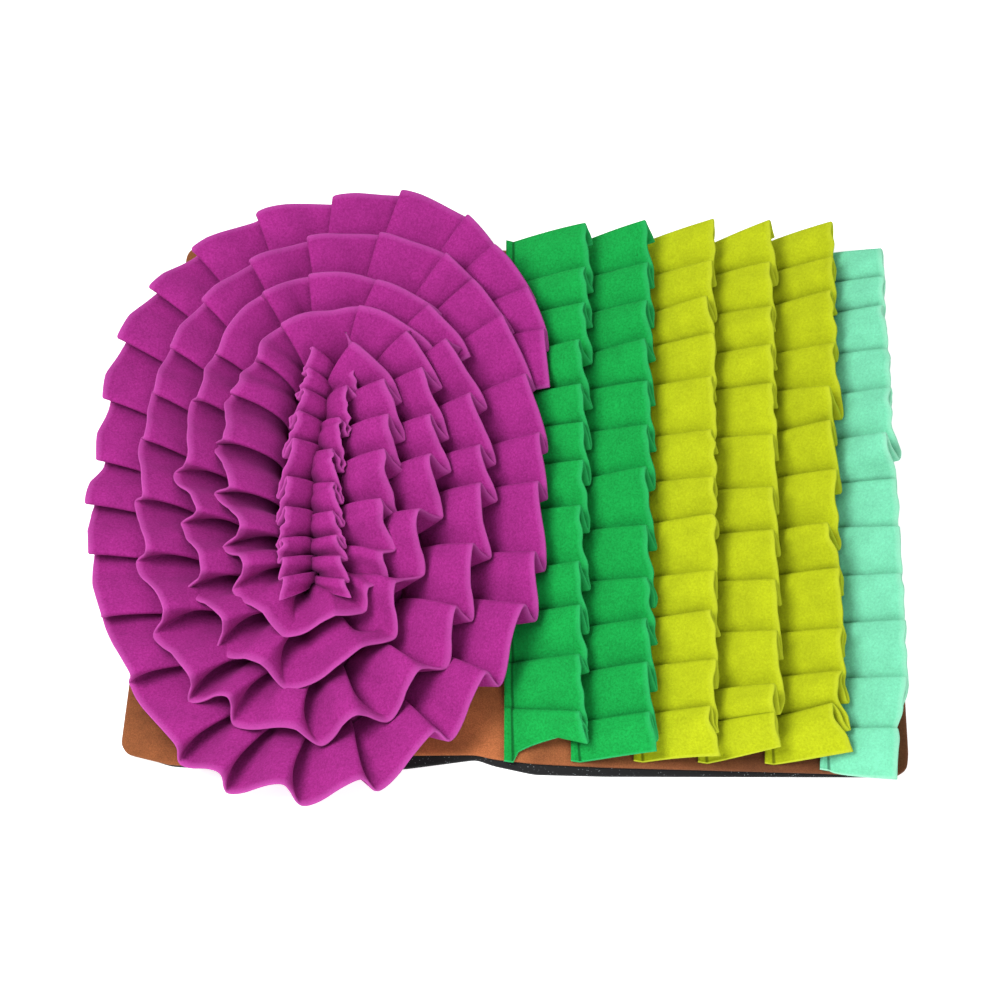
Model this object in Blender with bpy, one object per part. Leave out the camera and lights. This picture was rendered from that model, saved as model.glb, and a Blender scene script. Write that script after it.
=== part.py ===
"""Snuffle mat: pleated ovals and rows of fleece strip, sewn by one edge to a soft two-layer base.

Every strip is knife-pleated. Its stitched edge lies flat on the base, its free edge leans outwards and its
folds open towards the free edge. Lengths below are in millimetres and are multiplied by MM in the meshes.
+X points to the right-hand short side of the mat, +Y to its back long side, +Z up. The origin is in the
middle of the mat's underside, on the surface that the mat lies on.
"""

import math

import bmesh
import bpy
import numpy as np

MM = 0.001

# ---------------------------------------------------------------- driving sizes, in millimetres
GAP = 0.3  # between pieces that are sewn face to face
BACKING_TOP = 3.6  # thickness of the non-slip backing
BASE_TOP = 7.6  # height of the suede top over the surface that the mat lies on
BACKING_INSET = 3.0  # how far the backing stays inside the suede at the sides and the back
EDGE_ROUND = 1.8  # how much the suede's plump edge draws in at its top
EDGE_TUCK = 0.6  # and at its bottom
CORNER_CUT = 8.0  # how far the two back corners are rounded off

CLOTH = 2.2  # thickness of the fleece
LAYER = 2.75  # from one stacked layer of fleece to the next
OVERLAP = 17.0  # how far a row's fold lies over the next one along the stitched edge
OVAL_OVERLAP = 20.0  # the same for an oval's fold
SHORTEST_RISE = 6.0  # stitched edge left between an overlap and the fold behind it
STEP_ASIDE = 2.1  # a layer starts to rise this far past the fold that it passes under
OPENING_ANGLE = 23.0  # degrees that a fold rolls open between the stitched and the free edge
FAN_ANGLE = 14.0  # degrees that it rolls open besides, where the free edge is twice the stitched one
MOST_ANGLE = 75.0  # degrees
SLACK = 1.06  # cloth in a pleat, at least, over the straight way across it
SEAM_ALLOWANCE = 7.0  # flat edge of a row on the far side of its stitches
BEND_STATION = 0.5  # how far a strip's folds have opened where the strip bends, as a share
LINE_POINTS = 4097  # along the stitch line of an oval

STITCH_HEIGHT = BASE_TOP + GAP + CLOTH / 2

# The mat's corners at the back, and its front edge, where the backing shows in front of the suede.
BACK_LEFT = (-287.0, 244.0)
BACK_RIGHT = (312.0, 242.0)
FRONT_EDGE = (  # x, y of the suede, y of the backing
    (-311.0, -222.0, -219.0),
    (-306.0, -230.0, -227.0),
    (-272.0, -239.0, -238.0),
    (-200.0, -240.0, -243.0),
    (-94.0, -231.0, -240.5),
    (-38.0, -230.5, -232.5),
    (-26.0, -234.0, -237.5),
    (6.0, -238.0, -245.0),
    (60.0, -241.0, -246.5),
    (225.0, -246.0, -247.0),
    (282.0, -249.0, -247.0),
    (291.0, -243.0, -240.0),
    (293.0, -230.0, -227.0),
)

# The ovals, from the outer to the inner one: the centre of the stitch line and its half sizes; the radius that
# its tight ends keep; how far its corner at the back right swells out; the strip's width past the stitches;
# how high the free edge stands over them, on average and how much more on the right and at the back; where the
# strip bends on its way up, as shares of its reach and rise; and how much further its folds reach on the left.
OVAL_COLUMNS = (
    "x", "y", "half_x", "half_y", "end", "swell", "width",
    "rise", "rise_right", "rise_back", "bend_out", "bend_up", "fold_out",
)
OVALS = {
    "magenta_ruffle_1": (-156.5, -5, 124, 217, 20, 28, 62, 19.5, 10, 5, 0.45, 0.55, 12),
    "magenta_ruffle_2": (-165, -1, 92, 179, 16, 27, 62, 29.5, 6, 7, 0.40, 0.56, 6),
    "magenta_ruffle_3": (-165, 1, 64, 144, 14, 24, 62, 38, 4, 9, 0.34, 0.58, 3),
    "magenta_ruffle_4": (-164.5, 2, 36, 108, 12, 18, 62, 46, 3, 7, 0.20, 0.62, 0),
}
SWELL_BEARING = 48.0  # degrees, anticlockwise from +X, on the oval
SWELL_SPREAD = 18.0

# Bearing of each fold of an oval at its free edge, in degrees anticlockwise from +X.
OVAL_FOLDS = {
    "magenta_ruffle_1": (
        89, 110, 127, 140, 153, 165, 177, 187, 197, 208, 220, 236, 251, 267,
        286, 307, 321, 335, 348, 362, 371, 382, 390, 398, 407, 419, 432,
    ),
    "magenta_ruffle_2": (
        74, 96, 117, 135, 150, 162, 174, 188, 200, 216, 232, 251, 271, 291,
        310, 328, 344, 357, 369, 381, 393, 404, 417,
    ),
    "magenta_ruffle_3": (
        67, 96, 118, 145, 161, 181, 194, 209, 227, 259, 295, 319, 343, 362,
        376, 390, 405,
    ),
    "magenta_ruffle_4": (
        69, 115, 135, 155, 174, 189, 206, 222, 264, 300, 319, 343, 363, 379,
        395,
    ),
}
FOLD_SLANT = 6.0  # how much further round a fold starts at the stitches

# The rows: y of the back and the front end of the stitch line; x of the stitch line and of the free edge at
# both ends; how high the free edge stands; and where the strip bends on its way up, as for the ovals. The two
# short rows in the middle of the ovals are sewn back to back.
ROW_COLUMNS = (
    "back", "front", "stitch_back", "stitch_front", "free_back", "free_front", "rise", "bend_out", "bend_up",
)
ROWS = {
    "green_ruffle_1": (242, -240, -8, -10, 52, 41, 21, 0.5, 0.5),
    "green_ruffle_2": (242, -240, 47, 41, 103, 95, 23, 0.5, 0.5),
    "lime_ruffle_1": (242, -240, 100, 89, 154, 143, 23, 0.5, 0.5),
    "lime_ruffle_2": (242, -240, 150, 138, 205, 191, 23, 0.5, 0.5),
    "lime_ruffle_3": (242, -240, 205, 189, 260, 236, 23, 0.5, 0.5),
    "mint_ruffle": (242, -240, 248, 231, 305, 286, 22, 0.5, 0.5),
}
CENTRE_ROWS = {
    "magenta_ruffle_5": (92, -88, -161, -174, -181, -196, 50, 0.10, 0.64),
    "magenta_ruffle_6": (92, -88, -141, -154, -126, -139, 52, 0.10, 0.64),
}

# y of each fold of the rows, from the back to the front of the mat, and last the cut end: first at the
# stitches, then at the free edge. The columns are the rows in the order above.
STITCHED_FOLDS = (
    (242, 240, 240, 234, 240, 228),
    (202, 209, 211, 210, 214, 204),
    (166, 171, 175, 170, 179, 173),
    (131, 133, 138, 132, 136, 129),
    (88, 97, 102, 94, 99, 92),
    (50, 54, 56, 51, 54, 51),
    (13, 14, 11, 4, 10, 6),
    (-28, -35, -31, -38, -34, -33),
    (-77, -83, -77, -83, -77, -77),
    (-115, -122, -116, -128, -126, -120),
    (-159, -159, -157, -173, -166, -164),
    (-211, -205, -201, -208, -205, -209),
    (-234, -236, -237, -238, -239, -240),
)
FREE_FOLDS = (
    (240, 240, 244, 242, 241, 220),
    (200, 206, 210, 208, 212, 194),
    (162, 166, 175, 162, 176, 168),
    (126, 131, 136, 124, 130, 123),
    (81, 90, 93, 85, 80, 86),
    (42, 45, 47, 38, 46, 38),
    (6, 8, -2, -10, 2, -2),
    (-38, -46, -37, -50, -46, -45),
    (-86, -94, -86, -95, -86, -87),
    (-122, -129, -122, -141, -136, -129),
    (-165, -165, -164, -184, -174, -175),
    (-214, -209, -206, -212, -206, -218),
    (-240, -244, -243, -244, -246, -246),
)
CENTRE_STITCHED_FOLDS = (
    (88, 88),
    (70, 69),
    (51, 50),
    (32, 28),
    (10, 5),
    (-16, -19),
    (-38, -40),
    (-59, -59),
    (-77, -75),
    (-88, -88),
)
CENTRE_FREE_FOLDS = (
    (100, 98),
    (81, 79),
    (61, 59),
    (40, 33),
    (14, 4),
    (-20, -24),
    (-48, -50),
    (-74, -74),
    (-94, -93),
    (-106, -106),
)

# Where the free edge of a pleat's top layer bends: the share of its width and the share of its height.
TOP_LAYER_BENDS = ((0.30, 0.10), (0.72, 0.76))

COLOURS = {  # base colour, roughness
    "suede": ((0.36, 0.15, 0.055, 1.0), 0.85),
    "backing": ((0.012, 0.013, 0.015, 1.0), 0.7),
    "magenta": ((0.50, 0.035, 0.33, 1.0), 0.95),
    "green": ((0.015, 0.47, 0.11, 1.0), 0.95),
    "lime": ((0.60, 0.69, 0.03, 1.0), 0.95),
    "mint": ((0.22, 0.84, 0.52, 1.0), 0.95),
}


# ---------------------------------------------------------------- objects and materials
def clear_scene():
    for obj in list(bpy.data.objects):
        bpy.data.objects.remove(obj, do_unlink=True)


def fabric(name):
    """The Principled material of one cloth, made once."""
    if name in bpy.data.materials:
        return bpy.data.materials[name]
    colour, roughness = COLOURS[name]
    material = bpy.data.materials.new(name)
    material.use_nodes = True
    shader = material.node_tree.nodes["Principled BSDF"]
    shader.inputs["Base Color"].default_value = colour
    shader.inputs["Roughness"].default_value = roughness
    shader.inputs["Metallic"].default_value = 0.0
    return material


def add_object(name, points, faces, material):
    mesh = bpy.data.meshes.new(name)
    mesh.from_pydata([tuple(point) for point in points * MM], [], faces)
    mesh.materials.append(material)
    mesh.shade_flat()
    obj = bpy.data.objects.new(name, mesh)
    bpy.context.scene.collection.objects.link(obj)
    return obj


# ---------------------------------------------------------------- the base
def base_outline(column, inset):
    """The outline of one base layer, anticlockwise from the front left, its sides and back drawn in by inset."""
    left, back = BACK_LEFT
    right = BACK_RIGHT[0]
    front = [(row[0], row[column]) for row in FRONT_EDGE]
    front[0] = (front[0][0] + inset, front[0][1])
    front[1] = (front[1][0] + inset, front[1][1])
    front[-1] = (front[-1][0] - inset, front[-1][1])
    front[-2] = (front[-2][0] - inset, front[-2][1])
    cut = CORNER_CUT
    back_corners = [
        (right - inset, BACK_RIGHT[1] - inset - cut),
        (right - inset - cut / 3, BACK_RIGHT[1] - inset - cut / 3),
        (right - inset - cut, BACK_RIGHT[1] - inset),
        (left + inset + cut, back - inset),
        (left + inset + cut / 3, back - inset - cut / 3),
        (left + inset, back - inset - cut),
    ]
    return front + back_corners


def drawn_in(outline, distance):
    """The outline moved inwards by a distance, each corner on the line that halves it."""
    points = np.array(outline)
    ahead = np.roll(points, -1, axis=0) - points
    ahead /= np.linalg.norm(ahead, axis=1)[:, None]
    inward = np.stack([-ahead[:, 1], ahead[:, 0]], axis=1)
    before = np.roll(inward, 1, axis=0)
    corner = (inward + before) / (1 + (inward * before).sum(axis=1))[:, None]
    return points + distance * corner


def add_panel(name, outline, levels, material):
    """A flat layer of the base: its outline at each (height, inset) of levels, bridged and closed."""
    panel = bmesh.new()
    rings = []
    for height, inset in levels:
        ring = [
            panel.verts.new((x * MM, y * MM, height * MM))
            for x, y in drawn_in(outline, inset)
        ]
        rings.append(ring)
    count = len(outline)
    for low, high in zip(rings, rings[1:]):
        for i in range(count):
            after = (i + 1) % count
            panel.faces.new((low[i], low[after], high[after], high[i]))
    panel.faces.new(list(reversed(rings[0])))
    panel.faces.new(rings[-1])
    mesh = bpy.data.meshes.new(name)
    panel.to_mesh(mesh)
    panel.free()
    mesh.materials.append(material)
    mesh.shade_flat()
    obj = bpy.data.objects.new(name, mesh)
    bpy.context.scene.collection.objects.link(obj)
    return obj


def add_base():
    add_panel(
        "base_backing",
        base_outline(2, BACKING_INSET),
        ((0.0, 0.0), (BACKING_TOP, 0.0)),
        fabric("backing"),
    )
    add_panel(
        "base_top",
        base_outline(1, 0.0),
        (
            (BACKING_TOP + GAP, EDGE_TUCK),
            ((BACKING_TOP + BASE_TOP) / 2, 0.0),
            (BASE_TOP, EDGE_ROUND),
        ),
        fabric("suede"),
    )


# ---------------------------------------------------------------- stitch lines
class StitchLine:
    """A line that a strip is sewn along: points, distance along it and the bearing of its outer side."""

    def __init__(self, x, y, closed):
        self.closed = closed
        step_x = np.gradient(np.r_[x[-2], x, x[1]])[1:-1] if closed else np.gradient(x)
        step_y = np.gradient(np.r_[y[-2], y, y[1]])[1:-1] if closed else np.gradient(y)
        self.x = x
        self.y = y
        self.out = np.unwrap(np.arctan2(step_y, step_x) - math.pi / 2)
        steps = np.hypot(np.diff(x), np.diff(y))
        self.along = np.r_[0.0, np.cumsum(steps)]

    def parallel(self, distance):
        """Length along a line beside this one, at each of its points, for the distance there."""
        turned = np.diff(self.out)
        between = (distance[1:] + distance[:-1]) / 2
        return self.along + np.r_[0.0, np.cumsum(between * turned)]

    def moved(self, places, lengths, new_lengths):
        """Places given along one of the parallel lines, as places along another."""
        if not self.closed:
            return places
        turns, inside = np.divmod(places, lengths[-1])
        return turns * new_lengths[-1] + np.interp(inside, lengths, new_lengths)

    def at(self, places, lengths):
        """x, y and outer bearing of the stitch line beside places along a parallel line."""
        if self.closed:
            inside = np.mod(places, lengths[-1])
            return tuple(np.interp(inside, lengths, values) for values in (self.x, self.y, self.out))
        share = places / self.along[-1]
        x = self.x[0] + share * (self.x[-1] - self.x[0])
        y = self.y[0] + share * (self.y[-1] - self.y[0])
        return x, y, np.full_like(share, self.out[0])


def oval_line(oval):
    """An ellipse with rounded ends that swells out at its back right corner."""
    turn = np.linspace(0.0, 2 * math.pi, LINE_POINTS)
    inner_x = oval["half_x"] - oval["end"]
    inner_y = oval["half_y"] - oval["end"]
    normal_x = inner_y * np.cos(turn)
    normal_y = inner_x * np.sin(turn)
    normal = np.hypot(normal_x, normal_y)
    away = (np.degrees(turn) - SWELL_BEARING) / SWELL_SPREAD
    swell = oval["swell"] * np.exp(-(away**2))
    x = inner_x * np.cos(turn) + (oval["end"] + swell) * normal_x / normal
    y = inner_y * np.sin(turn) + (oval["end"] + swell) * normal_y / normal
    return StitchLine(oval["x"] + x, oval["y"] + y, closed=True)


def oval_fold_places(line, oval, reach, bearings):
    """Distance along the stitch line of each fold whose bearing at the free edge is given."""
    free_x = line.x + reach * np.cos(line.out) - oval["x"]
    free_y = line.y + reach * np.sin(line.out) - oval["y"]
    wide = np.ptp(free_x) / 2
    deep = np.ptp(free_y) / 2
    bearing = np.degrees(np.unwrap(np.arctan2(free_y / deep, free_x / wide)))
    turns, rest = np.divmod(np.array(bearings, dtype=float) - bearing[0], 360.0)
    return turns * line.along[-1] + np.interp(rest + bearing[0], bearing, line.along)


# ---------------------------------------------------------------- pleats
def pleat_corners(folds, root_folds, cut_end, root_cut_end, period, root_period, openness):
    """The tail of each pleat's top layer, how far each fold lies over the next tail, and each fold's height.

    folds are the folds' places at this station and root_folds the same at the stitches; cut_end is where an
    open strip starts, and period is the length of a closed one.
    """
    closed = cut_end is None
    first = folds[-1] - period if closed else cut_end
    root_first = root_folds[-1] - root_period if closed else root_cut_end
    pitch = np.diff(folds, prepend=first)
    root_pitch = np.diff(root_folds, prepend=root_first)
    root_overlap = np.minimum(OVAL_OVERLAP if closed else OVERLAP, root_pitch - SHORTEST_RISE)
    overlap_before = np.roll(root_overlap, 1)
    if not closed:
        overlap_before[0] = 0.0
    half_cloth = (root_pitch + overlap_before + root_overlap) / 2
    half_way = pitch / 2
    spread = np.maximum(half_way / (root_pitch / 2) - 1, 0.0)
    roll = np.minimum(openness * (OPENING_ANGLE + FAN_ANGLE * spread), MOST_ANGLE)
    roll = np.radians(roll)
    half = np.maximum(half_cloth, SLACK * half_way)
    overlap = root_overlap + (half * np.cos(roll) - half_way) - (half_cloth - root_pitch / 2)
    height = np.sqrt(half**2 - half_way**2) * np.sin(roll)
    ends = folds - overlap
    tails = np.r_[ends[-1] - period if closed else cut_end, ends[:-1]]
    return tails, ends, overlap, height, overlap_before, root_overlap, root_pitch


def pleat_section(folds, root_folds, cut_end, root_cut_end, period, root_period, openness):
    """The strip's middle line at one station: places along it and heights, six points for each pleat.

    They are the tail of the top layer, its two bends, the fold's two corners and the end of the lower layer.
    """
    tails, ends, overlap, height, before, root_overlap, root_pitch = pleat_corners(
        folds, root_folds, cut_end, root_cut_end, period, root_period, openness
    )
    climb = np.arctan2(height, folds - tails)
    fall = np.arctan2(-height, -overlap)
    fold_turn = (climb + fall) / 2
    next_climb = np.r_[climb[1:], climb[0]]
    end_turn = (fall + next_climb) / 2
    tail_turn = np.roll(end_turn, 1)
    half_layer = LAYER / 2
    tail = np.stack([tails + half_layer * np.cos(tail_turn), half_layer * (1 + np.sin(tail_turn))])
    end = np.stack([ends - half_layer * np.cos(end_turn), half_layer * (1 - np.sin(end_turn))])
    corner = np.stack([half_layer * np.cos(fold_turn), half_layer * np.sin(fold_turn)])
    middle = np.stack([folds, 3 * half_layer + height])
    fold_top = middle - corner
    fold_bottom = middle + corner
    if cut_end is not None:
        tail[:, 0] = (cut_end, 0.0)
        end[:, -1] = (ends[-1], LAYER)

    width = fold_top - tail
    closed_width = root_pitch + before
    closed_bends = (
        ((before + STEP_ASIDE) / closed_width, 0.0),
        ((root_pitch + before - root_overlap - STEP_ASIDE) / closed_width, 1.0),
    )
    bends = []
    for (share, rise), (free_share, free_rise) in zip(closed_bends, TOP_LAYER_BENDS):
        along = share * (1 - openness) + free_share * openness
        up = rise * (1 - openness) + free_rise * openness
        bends.append(tail + width * np.stack([along, np.full_like(along, up)]))
    points = np.stack([tail, bends[0], bends[1], fold_top, fold_bottom, end], axis=2)
    return points.reshape(2, -1)


def side_offsets(section, closed, period):
    """Half the cloth's thickness at each point of a section, square to the cloth and mitred at its corners."""
    if closed:
        before = np.roll(section, 1, axis=1)
        before[0, 0] -= period
        after = np.roll(section, -1, axis=1)
        after[0, -1] += period
    else:
        before = np.c_[2 * section[:, 0] - section[:, 1], section[:, :-1]]
        after = np.c_[section[:, 1:], 2 * section[:, -1] - section[:, -2]]
    normals = []
    for step in (section - before, after - section):
        step = step / np.hypot(*step)
        normals.append(np.stack([-step[1], step[0]]))
    into, out_of = normals
    return CLOTH / 2 * (into + out_of) / (1 + (into * out_of).sum(axis=0))


def strip_grid(line, root_folds, free_folds, cut_ends, shape):
    """Outer and inner points of a pleated strip, at each station from its sewn to its free edge.

    shape gives the reach and the rise of the free edge at each point of the stitch line, the bend's shares of
    them, how much further the folds reach on the left, and the flat seam_allowance behind the stitches.
    """
    root_cut_end, free_cut_end = cut_ends
    bend = (shape["bend_out"], shape["bend_up"])
    stations = [(0.0, 0.0, 0.0), (1.0, 1.0, 1.0)]
    if bend[0] != bend[1]:
        stations.insert(1, (BEND_STATION, *bend))
    if shape["seam_allowance"]:
        stations.insert(0, (-1.0, 0.0, 0.0))
    sides = ([], [])
    for station, out_share, up_share in stations:
        openness = max(station, 0.0)
        lengths = line.parallel(out_share * shape["reach"])
        places = root_folds + openness * (free_folds - root_folds)
        folds = line.moved(places, line.along, lengths)
        cut_end = None
        if not line.closed:
            cut_end = root_cut_end + openness * (free_cut_end - root_cut_end)
        section = pleat_section(
            folds, root_folds, cut_end, root_cut_end, lengths[-1], line.along[-1], openness
        )
        offset = side_offsets(section, line.closed, lengths[-1])
        x, y, bearing = line.at(section[0], lengths)
        stitched = np.clip(line.moved(section[0], lengths, line.along), 0.0, None)
        inside = np.mod(stitched, line.along[-1]) if line.closed else stitched
        reach = np.interp(inside, line.along, shape["reach"])
        rise = np.interp(inside, line.along, shape["rise"])
        lower_lean = np.arctan2(rise * bend[1], reach * bend[0])
        upper_lean = np.arctan2(rise * (1 - bend[1]), reach * (1 - bend[0]))
        tilt = {0.0: lower_lean / 2, 1.0: upper_lean}.get(openness, (lower_lean + upper_lean) / 2)
        away = reach * out_share
        if station < 0:
            tilt = np.zeros_like(tilt)
            away = -shape["seam_allowance"]
        top = section[1] / section[1].max() - 0.5
        away = away + openness * shape["fold_out"] * (1 - np.cos(bearing)) / 2 * top
        outward = np.stack([np.cos(bearing), np.sin(bearing), np.zeros_like(bearing)])
        forward = np.stack([-np.sin(bearing), np.cos(bearing), np.zeros_like(bearing)])
        up = np.array([0.0, 0.0, 1.0])[:, None]
        across = np.cos(tilt) * up - np.sin(tilt) * outward
        stitch = np.stack([x, y, np.full_like(x, STITCH_HEIGHT)])
        middle = stitch + outward * away + up * rise * up_share + across * section[1]
        thick = forward * offset[0] + across * offset[1]
        sides[0].append((middle + thick).T)
        sides[1].append((middle - thick).T)
    return np.array(sides)


def add_strip(name, grid, closed, material):
    """A solid strip from the two sides of its cloth, joined along its edges and, if open, at its ends."""
    sides, stations, count, _ = grid.shape
    points = grid.reshape(-1, 3)

    def index(side, station, place):
        return (side * stations + station) * count + place % count

    faces = []

    def add_quad(a, b, c, d):
        faces.extend(((a, b, c), (a, c, d)))

    steps = count if closed else count - 1
    for place in range(steps):
        for station in range(stations - 1):
            a = index(0, station, place)
            b = index(0, station + 1, place)
            c = index(0, station + 1, place + 1)
            d = index(0, station, place + 1)
            back = stations * count
            add_quad(a, b, c, d)
            faces.append((a + back, c + back, b + back))
            faces.append((a + back, d + back, c + back))
        sewn = [index(side, 0, p) for side, p in ((0, place), (0, place + 1), (1, place + 1), (1, place))]
        add_quad(*sewn)
        last = stations - 1
        free = [index(side, last, p) for side, p in ((1, place), (1, place + 1), (0, place + 1), (0, place))]
        add_quad(*free)
    if not closed:
        for station in range(stations - 1):
            low, high = station, station + 1
            add_quad(index(1, low, 0), index(1, high, 0), index(0, high, 0), index(0, low, 0))
            end = count - 1
            add_quad(index(0, low, end), index(0, high, end), index(1, high, end), index(1, low, end))
    return add_object(name, points, faces, material)


def add_oval(name, oval, bearings, material):
    line = oval_line(oval)
    right, back = np.cos(line.out), np.sin(line.out)
    rise = oval["rise"] + oval["rise_right"] * right + oval["rise_back"] * back
    reach = np.sqrt(oval["width"] ** 2 - rise**2)
    free_folds = oval_fold_places(line, oval, reach, bearings)
    root_folds = free_folds + FOLD_SLANT
    shape = dict(oval, reach=reach, rise=rise, seam_allowance=0.0)
    grid = strip_grid(line, root_folds, free_folds, (None, None), shape)
    add_strip(name, grid, True, material)


def add_row(name, row, stitched, free, seam_allowance, material):
    """One straight row. stitched and free give y at its folds, from the back, and last at its cut end.

    A row that leans to the left is worked out as its mirror image, which leans to the right.
    """
    side = 1 if row["free_back"] > row["stitch_back"] else -1
    line = StitchLine(
        np.array([row["stitch_front"], row["stitch_back"]]) * side,
        np.array([row["front"], row["back"]], dtype=float),
        closed=False,
    )
    bearing = line.out[0]
    reach = side * np.array(
        [row["free_front"] - row["stitch_front"], row["free_back"] - row["stitch_back"]]
    )
    rise = np.full(2, float(row["rise"]))
    root = (np.array(stitched[::-1], dtype=float) - row["front"]) / math.cos(bearing)
    tip = (np.array(free[::-1], dtype=float) - row["front"]) / math.cos(bearing)
    tip -= np.interp(tip, line.along, reach) * math.tan(bearing)
    shape = dict(row, reach=reach, rise=rise, fold_out=0.0, seam_allowance=seam_allowance)
    grid = strip_grid(line, root[1:], tip[1:], (root[0], tip[0]), shape)
    if side < 0:
        grid = grid[::-1] * np.array([-1.0, 1.0, 1.0])
    add_strip(name, grid, False, material)


def add_rows(rows, stitched_folds, free_folds, seam_allowance):
    for column, (name, sizes) in enumerate(rows.items()):
        row = dict(zip(ROW_COLUMNS, sizes))
        stitched = [folds[column] for folds in stitched_folds]
        free = [folds[column] for folds in free_folds]
        add_row(name, row, stitched, free, seam_allowance, fabric(name.split("_")[0]))


clear_scene()
add_base()
for oval_name, oval_sizes in OVALS.items():
    oval_row = dict(zip(OVAL_COLUMNS, oval_sizes))
    add_oval(oval_name, oval_row, OVAL_FOLDS[oval_name], fabric("magenta"))
add_rows(CENTRE_ROWS, CENTRE_STITCHED_FOLDS, CENTRE_FREE_FOLDS, 0.0)
add_rows(ROWS, STITCHED_FOLDS, FREE_FOLDS, SEAM_ALLOWANCE)
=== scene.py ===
import math

import bpy
import numpy as np
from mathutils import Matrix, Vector


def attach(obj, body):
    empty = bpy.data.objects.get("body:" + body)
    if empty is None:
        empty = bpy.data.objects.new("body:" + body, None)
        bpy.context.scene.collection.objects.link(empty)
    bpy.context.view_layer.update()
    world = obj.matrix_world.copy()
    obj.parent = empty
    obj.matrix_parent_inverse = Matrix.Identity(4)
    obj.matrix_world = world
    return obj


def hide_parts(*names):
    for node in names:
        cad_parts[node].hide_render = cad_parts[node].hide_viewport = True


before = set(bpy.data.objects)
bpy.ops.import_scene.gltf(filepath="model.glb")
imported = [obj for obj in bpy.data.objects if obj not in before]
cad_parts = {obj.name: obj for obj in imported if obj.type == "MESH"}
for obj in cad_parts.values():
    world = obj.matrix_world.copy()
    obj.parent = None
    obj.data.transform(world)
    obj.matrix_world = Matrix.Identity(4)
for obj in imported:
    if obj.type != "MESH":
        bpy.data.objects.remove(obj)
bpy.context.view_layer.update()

# ---------------------------------------------------------------- base backing
# The non-slip backing: a black coated cloth with small pale grip dots, sewn to the suede all round.
# It shows as a dark border along the front, where the suede stops short of it.
MM = 0.001
BACK_LEFT = (-287.0, 244.0)
BACK_RIGHT = (302.0, 237.0)
CORNER_CUT = 8.0
FRONT_EDGE = (  # x, y of the suede, y of the backing
    (-311.0, -222.0, -219.0),
    (-306.0, -230.0, -227.0),
    (-272.0, -239.0, -238.0),
    (-200.0, -240.0, -243.0),
    (-94.0, -231.0, -240.5),
    (-38.0, -230.5, -232.5),
    (-26.0, -234.0, -237.5),
    (6.0, -238.0, -245.0),
    (60.0, -241.0, -246.5),
    (225.0, -246.0, -247.0),
    (282.0, -249.0, -247.0),
    (291.0, -243.0, -240.0),
    (293.0, -230.0, -227.0),
)
SUEDE_FRONT, BACKING_FRONT = 1, 2  # columns of that table
BACKING_INSET = 3.0
BACKING_LEVELS = ((0.0, 0.5), (0.4, 0.1), (1.8, 0.0), (3.2, 0.1), (3.6, 0.6))  # height, inset
OUTLINE_STEP = 3.0
OUTLINE_SOFTNESS = 3.0


def base_outline(column, inset):
    """The outline of one base layer, anticlockwise from the front left, its sides and back drawn in."""
    left, back_left = BACK_LEFT
    right, back_right = BACK_RIGHT
    front = [(row[0], row[column]) for row in FRONT_EDGE]
    for corner, side in ((0, 1), (1, 1), (-1, -1), (-2, -1)):  # two points at each front corner
        front[corner] = (front[corner][0] + side * inset, front[corner][1])
    cut, bulge = CORNER_CUT, CORNER_CUT / 3
    return front + [
        (right - inset, back_right - inset - cut),
        (right - inset - bulge, back_right - inset - bulge),
        (right - inset - cut, back_right - inset),
        (left + inset + cut, back_left - inset),
        (left + inset + bulge, back_left - inset - bulge),
        (left + inset, back_left - inset - cut),
    ]


def rounded_outline(outline):
    """The same outline with points about one step apart and its corners softened."""
    points = np.array(outline + outline[:1], dtype=float)
    along = np.r_[0.0, np.cumsum(np.hypot(*np.diff(points, axis=0).T))]
    places = np.arange(0.0, along[-1], OUTLINE_STEP)
    dense = np.stack([np.interp(places, along, points[:, axis]) for axis in (0, 1)], axis=1)
    reach = int(3 * OUTLINE_SOFTNESS / OUTLINE_STEP) + 1
    shifts = range(-reach, reach + 1)
    shares = np.exp(-0.5 * (np.array(shifts) * OUTLINE_STEP / OUTLINE_SOFTNESS) ** 2)
    shares /= shares.sum()
    return sum(share * np.roll(dense, shift, axis=0) for shift, share in zip(shifts, shares))


def inward_of(points):
    """The unit direction into an anticlockwise outline, at each of its points."""
    ahead = np.roll(points, -1, axis=0) - np.roll(points, 1, axis=0)
    ahead /= np.linalg.norm(ahead, axis=1)[:, None]
    return np.stack([-ahead[:, 1], ahead[:, 0]], axis=1)


def new_object(name, points, faces, material):
    """A smooth-shaded object from points in millimetres."""
    mesh = bpy.data.meshes.new(name)
    mesh.from_pydata([tuple(point) for point in points * MM], [], faces)
    mesh.materials.append(material)
    mesh.shade_smooth()
    mesh.update()
    piece = bpy.data.objects.new(name, mesh)
    bpy.context.scene.collection.objects.link(piece)
    return piece


def base_panel(name, outline, levels, material):
    """A layer of the base: its outline at each (height, inset) of levels, with a flat top and bottom."""
    inward = inward_of(outline)
    count = len(outline)
    rows = [np.c_[outline + inset * inward, np.full(count, height)] for height, inset in levels]
    top_row = len(rows) - 1
    faces = [tuple(reversed(range(count))), tuple(range(top_row * count, (top_row + 1) * count))]
    for row in range(top_row):
        for i in range(count):
            after = (i + 1) % count
            low, high = row * count, (row + 1) * count
            faces.append((low + i, low + after, high + after, high + i))
    return new_object(name, np.vstack(rows), faces, material)


CLOTH_SPECULAR = 0.2


def node_material(name, roughness):
    """A new cloth material, with what its pattern is built from: nodes, links, shader and place."""
    material = bpy.data.materials.new(name)
    material.use_nodes = True
    nodes, links = material.node_tree.nodes, material.node_tree.links
    shader = nodes["Principled BSDF"]
    shader.inputs["Roughness"].default_value = roughness
    shader.inputs["Specular IOR Level"].default_value = CLOTH_SPECULAR
    place = nodes.new("ShaderNodeTexCoord").outputs["Object"]
    return material, nodes, links, shader, place


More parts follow.
